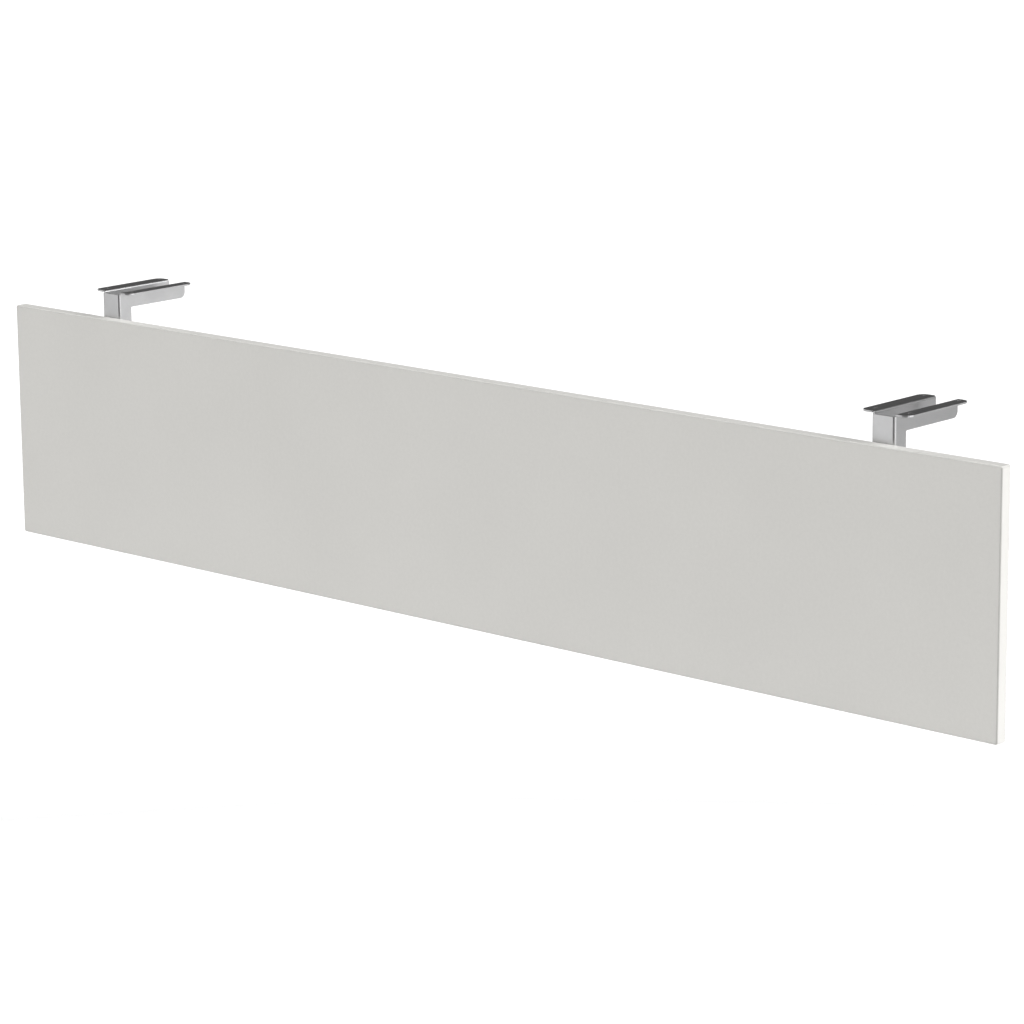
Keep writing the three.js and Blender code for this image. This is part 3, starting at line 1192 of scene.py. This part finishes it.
@dataclass
class Fixing:
    """A pan-head screw with its washer and its threaded insert, at one place of a bracket."""

    side: Side
    number: int
    thread: Thread = Thread(3.0 * MM, 2.46 * MM, 1.0 * MM, 0.42, 0.54, 0.98)
    tip_share: float = 0.9
    lead_in: float = 0.2 * MM
    plain: float = 2.0 * MM
    plain_radius: float = 2.91 * MM
    plain_step: float = 0.4 * MM
    seat_gap: float = 0.1 * MM
    head_rim: float = 1.2 * MM
    head_edge: float = 0.3 * MM
    dome_steps: int = 8
    recess_width: float = 1.5 * MM
    recess_length: float = 6.4 * MM
    recess_depth: float = 2.0 * MM
    recess_narrowing: float = 0.7
    recess_taper: float = 0.45
    hardware_easing: Easing = Easing(0.08 * MM)
    washer_bore: float = 3.3 * MM
    washer_edge: float = 0.25 * MM
    insert_bore: float = 3.1 * MM
    insert_root: float = 4.3 * MM
    insert_pitch: float = 2.0 * MM
    insert_edge: float = 0.3 * MM

    def node(self, kind: str) -> str:
        """Name of the CAD node of one kind at this place."""
        return f"{kind}_{self.side.value}_{self.number}"

    def place(self, kind: str) -> tuple[Vector, Vector, float]:
        """Where a piece of the fixing lies.

        Args:
            kind: Piece: screw, washer or insert.

        Returns:
            Its lowest corner, its highest corner and its outer radius.
        """
        low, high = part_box(self.node(kind))
        return low, high, (high.z - low.z) / 2.0

    def hand_over(self, mesh: BMesh, kind: str, slot: Slot, finish: Finish, easing: Easing | None) -> None:
        """Move a piece to its place and finish it.

        Args:
            mesh: Mesh with its middle line on the Y axis and its true places along it.
            kind: Piece: screw, washer or insert.
            finish: Finish of the piece.
            easing: Small round on its sharp edges.
        """
        low, high, _ = self.place(kind)
        middle = (low + high) / 2.0
        bmesh.ops.translate(mesh, vec=(middle.x, 0.0, middle.z), verts=mesh.verts)
        hand_over(mesh, f"{self.node(kind)}_fine", [self.node(kind)], finish, easing=easing)

    def screw_profile(self) -> list[tuple[float, float]]:
        """Outline of the screw from the middle of its tip to the middle of its head.

        Returns:
            Points of (radius, y).
        """
        low, _, head = self.place("screw")
        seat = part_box(self.node("washer"))[1].y + self.seat_gap
        root = self.thread.root
        start = low.y + self.lead_in
        points = [(0.0, low.y), (root * self.tip_share, low.y), (root, start)]
        points += self.thread.outline(start, int((seat - self.plain - low.y) / self.thread.pitch))
        points.append((self.plain_radius, seat - self.plain + self.plain_step))
        points.append((self.plain_radius, seat))
        points.append((head - self.head_edge, seat))
        points.append((head, seat + self.head_edge))
        points.append((head, seat + self.head_rim))
        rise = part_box(self.node("screw"))[1].y - seat - self.head_rim
        for step in range(1, self.dome_steps + 1):
            angle = math.pi / 2.0 * step / self.dome_steps
            radius = head * math.cos(angle) if step < self.dome_steps else 0.0
            points.append((radius, seat + self.head_rim + rise * math.sin(angle)))
        return points

    def recess(self, top: float) -> list[BMesh]:
        """The two tapered blades of the cross recess.

        Args:
            top: Height of the top of the head along Y.

        Returns:
            One cutting tool for each blade.
        """
        blades = []
        for turn in (0.0, math.pi / 2.0):
            reach = Vector((self.recess_width / 2.0, self.recess_depth, self.recess_length / 2.0))
            blade = block(-reach, reach)
            deep = [vert for vert in blade.verts if vert.co.y < 0.0]
            bmesh.ops.scale(blade, vec=(self.recess_narrowing, 1.0, self.recess_taper), verts=deep)
            matrix = Matrix.Rotation(turn, 3, "Y")
            bmesh.ops.rotate(blade, cent=(0.0, 0.0, 0.0), matrix=matrix, verts=blade.verts)
            bmesh.ops.translate(blade, vec=(0.0, top, 0.0), verts=blade.verts)
            blades.append(blade)
        return blades

    def build_screw(self) -> None:
        """Screw with a rolled thread, a domed head and a cross recess."""
        profile = self.screw_profile()
        mesh = cut(turned(profile), self.recess(profile[-1][1]))
        self.hand_over(mesh, "screw", Slot.SCREW_STEEL, Finishes.ZINC, self.hardware_easing)

    def build_washer(self) -> None:
        """Pressed washer, rounded on the side towards the head."""
        low, high, rim = self.place("washer")
        edge = self.washer_edge
        profile = [
            (self.washer_bore, low.y),
            (rim, low.y),
            (rim, high.y - edge),
            (rim - edge, high.y),
            (self.washer_bore + edge, high.y),
            (self.washer_bore, high.y - edge),
            (self.washer_bore, low.y),
        ]
        self.hand_over(turned(profile), "washer", Slot.SCREW_STEEL, Finishes.ZINC, self.hardware_easing)

    def build_insert(self) -> None:
        """Threaded insert with a coarse thread outside."""
        low, high, rim = self.place("insert")
        edge = self.insert_edge
        thread = Thread(rim, self.insert_root, self.insert_pitch, 0.45, 0.55, 0.95)
        points = [(self.insert_bore + edge, low.y), (self.insert_root, low.y)]
        points += thread.outline(low.y, int((high.y - low.y) / self.insert_pitch))
        points.append((self.insert_root, high.y))
        points.append((self.insert_bore + edge, high.y))
        points.append((self.insert_bore, high.y - edge))
        points.append((self.insert_bore, low.y + edge))
        points.append(points[0])
        self.hand_over(turned(points), "insert", Slot.INSERT_BRASS, Finishes.BRASS, None)

    def build(self) -> None:
        """Build the three pieces of the fixing."""
        self.build_screw()
        self.build_washer()
        self.build_insert()


# ---- Studio ----


@dataclass(frozen=True)
class BroadLight:
    """Distant light from a wide round patch of the dome."""

    name: str
    azimuth: float
    elevation: float
    spread: float
    strength: float

    def build(self) -> None:
        """Hang the light and aim it at the origin."""
        lamp = bpy.data.lights.new(self.name, "SUN")
        lamp.energy = self.strength
        lamp.angle = self.spread
        made = bpy.data.objects.new(self.name, lamp)
        made.rotation_euler = (0.0, math.pi / 2.0 - self.elevation, self.azimuth)
        bpy.context.scene.collection.objects.link(made)


@dataclass(frozen=True)
class Camera:
    """Long lens at the height of a standing person, to the right of the panel."""

    place: tuple[float, float, float] = (3.1758, -3.4032, 0.8534)
    heading: float = math.radians(42.32)
    pitch: float = math.radians(12.798)
    roll: float = math.radians(0.525)
    lens: float = 138.27
    nearest: float = 0.05
    farthest: float = 200.0

    def build(self) -> None:
        """Make the camera and give it to the scene."""
        data = bpy.data.cameras.new("Camera")
        data.lens = self.lens
        data.clip_start = self.nearest
        data.clip_end = self.farthest
        made = bpy.data.objects.new("Camera", data)
        turn = Matrix.Rotation(self.heading, 4, "Z")
        turn = turn @ Matrix.Rotation(math.pi / 2.0 - self.pitch, 4, "X")
        turn = turn @ Matrix.Rotation(-self.roll, 4, "Z")
        made.matrix_world = Matrix.Translation(self.place) @ turn
        bpy.context.scene.collection.objects.link(made)
        bpy.context.scene.camera = made


@dataclass
class Studio:
    """Pale floor far below the panel, two broad lights and a dim room."""

    floor_drop: float = 3.0
    floor_disc: float = 8.0
    floor_reach: float = 150.0
    floor_sheets: tuple[tuple[float, float], ...] = (
        (math.radians(-34.0), math.radians(50.5)),
        (math.radians(70.0), math.radians(205.0)),
        (math.radians(216.0), math.radians(247.0)),
    )
    sheet_steps: int = 24
    floor_tone: float = 0.5
    floor_glow: float = 0.66
    floor_roughness: float = 0.9
    room_light: float = 0.085
    lights: tuple[BroadLight, ...] = (
        BroadLight("Key", math.radians(12.0), math.radians(31.0), math.radians(66.0), 3.3),
        BroadLight("Fill", math.radians(224.0), math.radians(47.0), math.radians(70.0), 2.26),
    )

    def build_floor(self) -> None:
        """Round floor and three wide sheets beyond it, with a glow of their own that keeps them even."""
        mesh = bmesh.new()
        bmesh.ops.create_circle(mesh, cap_ends=True, segments=self.sheet_steps, radius=self.floor_disc)
        for start, end in self.floor_sheets:
            way = Vector((math.cos(start), math.sin(start), 0.0))
            ends = [mesh.verts.new(way * reach) for reach in (self.floor_disc, self.floor_reach)]
            edge = mesh.edges.new(ends)
            bmesh.ops.spin(
                mesh,
                geom=[*ends, edge],
                cent=(0.0, 0.0, 0.0),
                axis=Axis.Z.unit,
                dvec=(0.0, 0.0, 0.0),
                angle=end - start,
                steps=self.sheet_steps,
            )
        bmesh.ops.translate(mesh, vec=(0.0, 0.0, -self.floor_drop), verts=mesh.verts)
        data = settled(mesh, "Floor")
        shader = Shader("Pale floor")
        shader.set(
            base_color=(self.floor_tone, self.floor_tone, self.floor_tone, 1.0),
            roughness=self.floor_roughness,
            specular_ior_level=0.0,
            emission_color=(1.0, 1.0, 1.0, 1.0),
            emission_strength=self.floor_glow,
        )
        data.materials.append(shader.material)
        made = bpy.data.objects.new("Floor", data)
        bpy.context.scene.collection.objects.link(made)

    def build_room(self) -> None:
        """Even dim light from all round, behind a backdrop that shows white."""
        world = bpy.data.worlds.new("Room")
        world.use_nodes = True
        tree = world.node_tree
        room = tree.nodes["Background"]
        backdrop = tree.nodes.new("ShaderNodeMapRange")
        backdrop.inputs["To Min"].default_value = self.room_light
        backdrop.inputs["To Max"].default_value = 1.0
        path = tree.nodes.new("ShaderNodeLightPath")
        tree.links.new(path.outputs["Is Camera Ray"], backdrop.inputs["Value"])
        tree.links.new(backdrop.outputs["Result"], room.inputs["Strength"])
        room.inputs["Color"].default_value = (1.0, 1.0, 1.0, 1.0)
        bpy.context.scene.world = world

    def build(self) -> None:
        """Set up the whole studio."""
        bpy.context.scene.view_settings.view_transform = "Standard"
        self.build_floor()
        self.build_room()
        for light in self.lights:
            light.build()


def main() -> None:
    """Build the panel, its brackets and fixings, and the studio round them."""
    logging.basicConfig(level=logging.INFO, format="%(name)s: %(message)s")
    brackets = [Bracket(side) for side in Side]
    Board().build([place for bracket in brackets for place in bracket.fixing_places])
    for bracket in brackets:
        bracket.build()
        for number in range(1, len(bracket.fixing_places) + 1):
            Fixing(bracket.side, number).build()
    Studio().build()
    Camera().build()


if __name__ == "__main__":
    main()
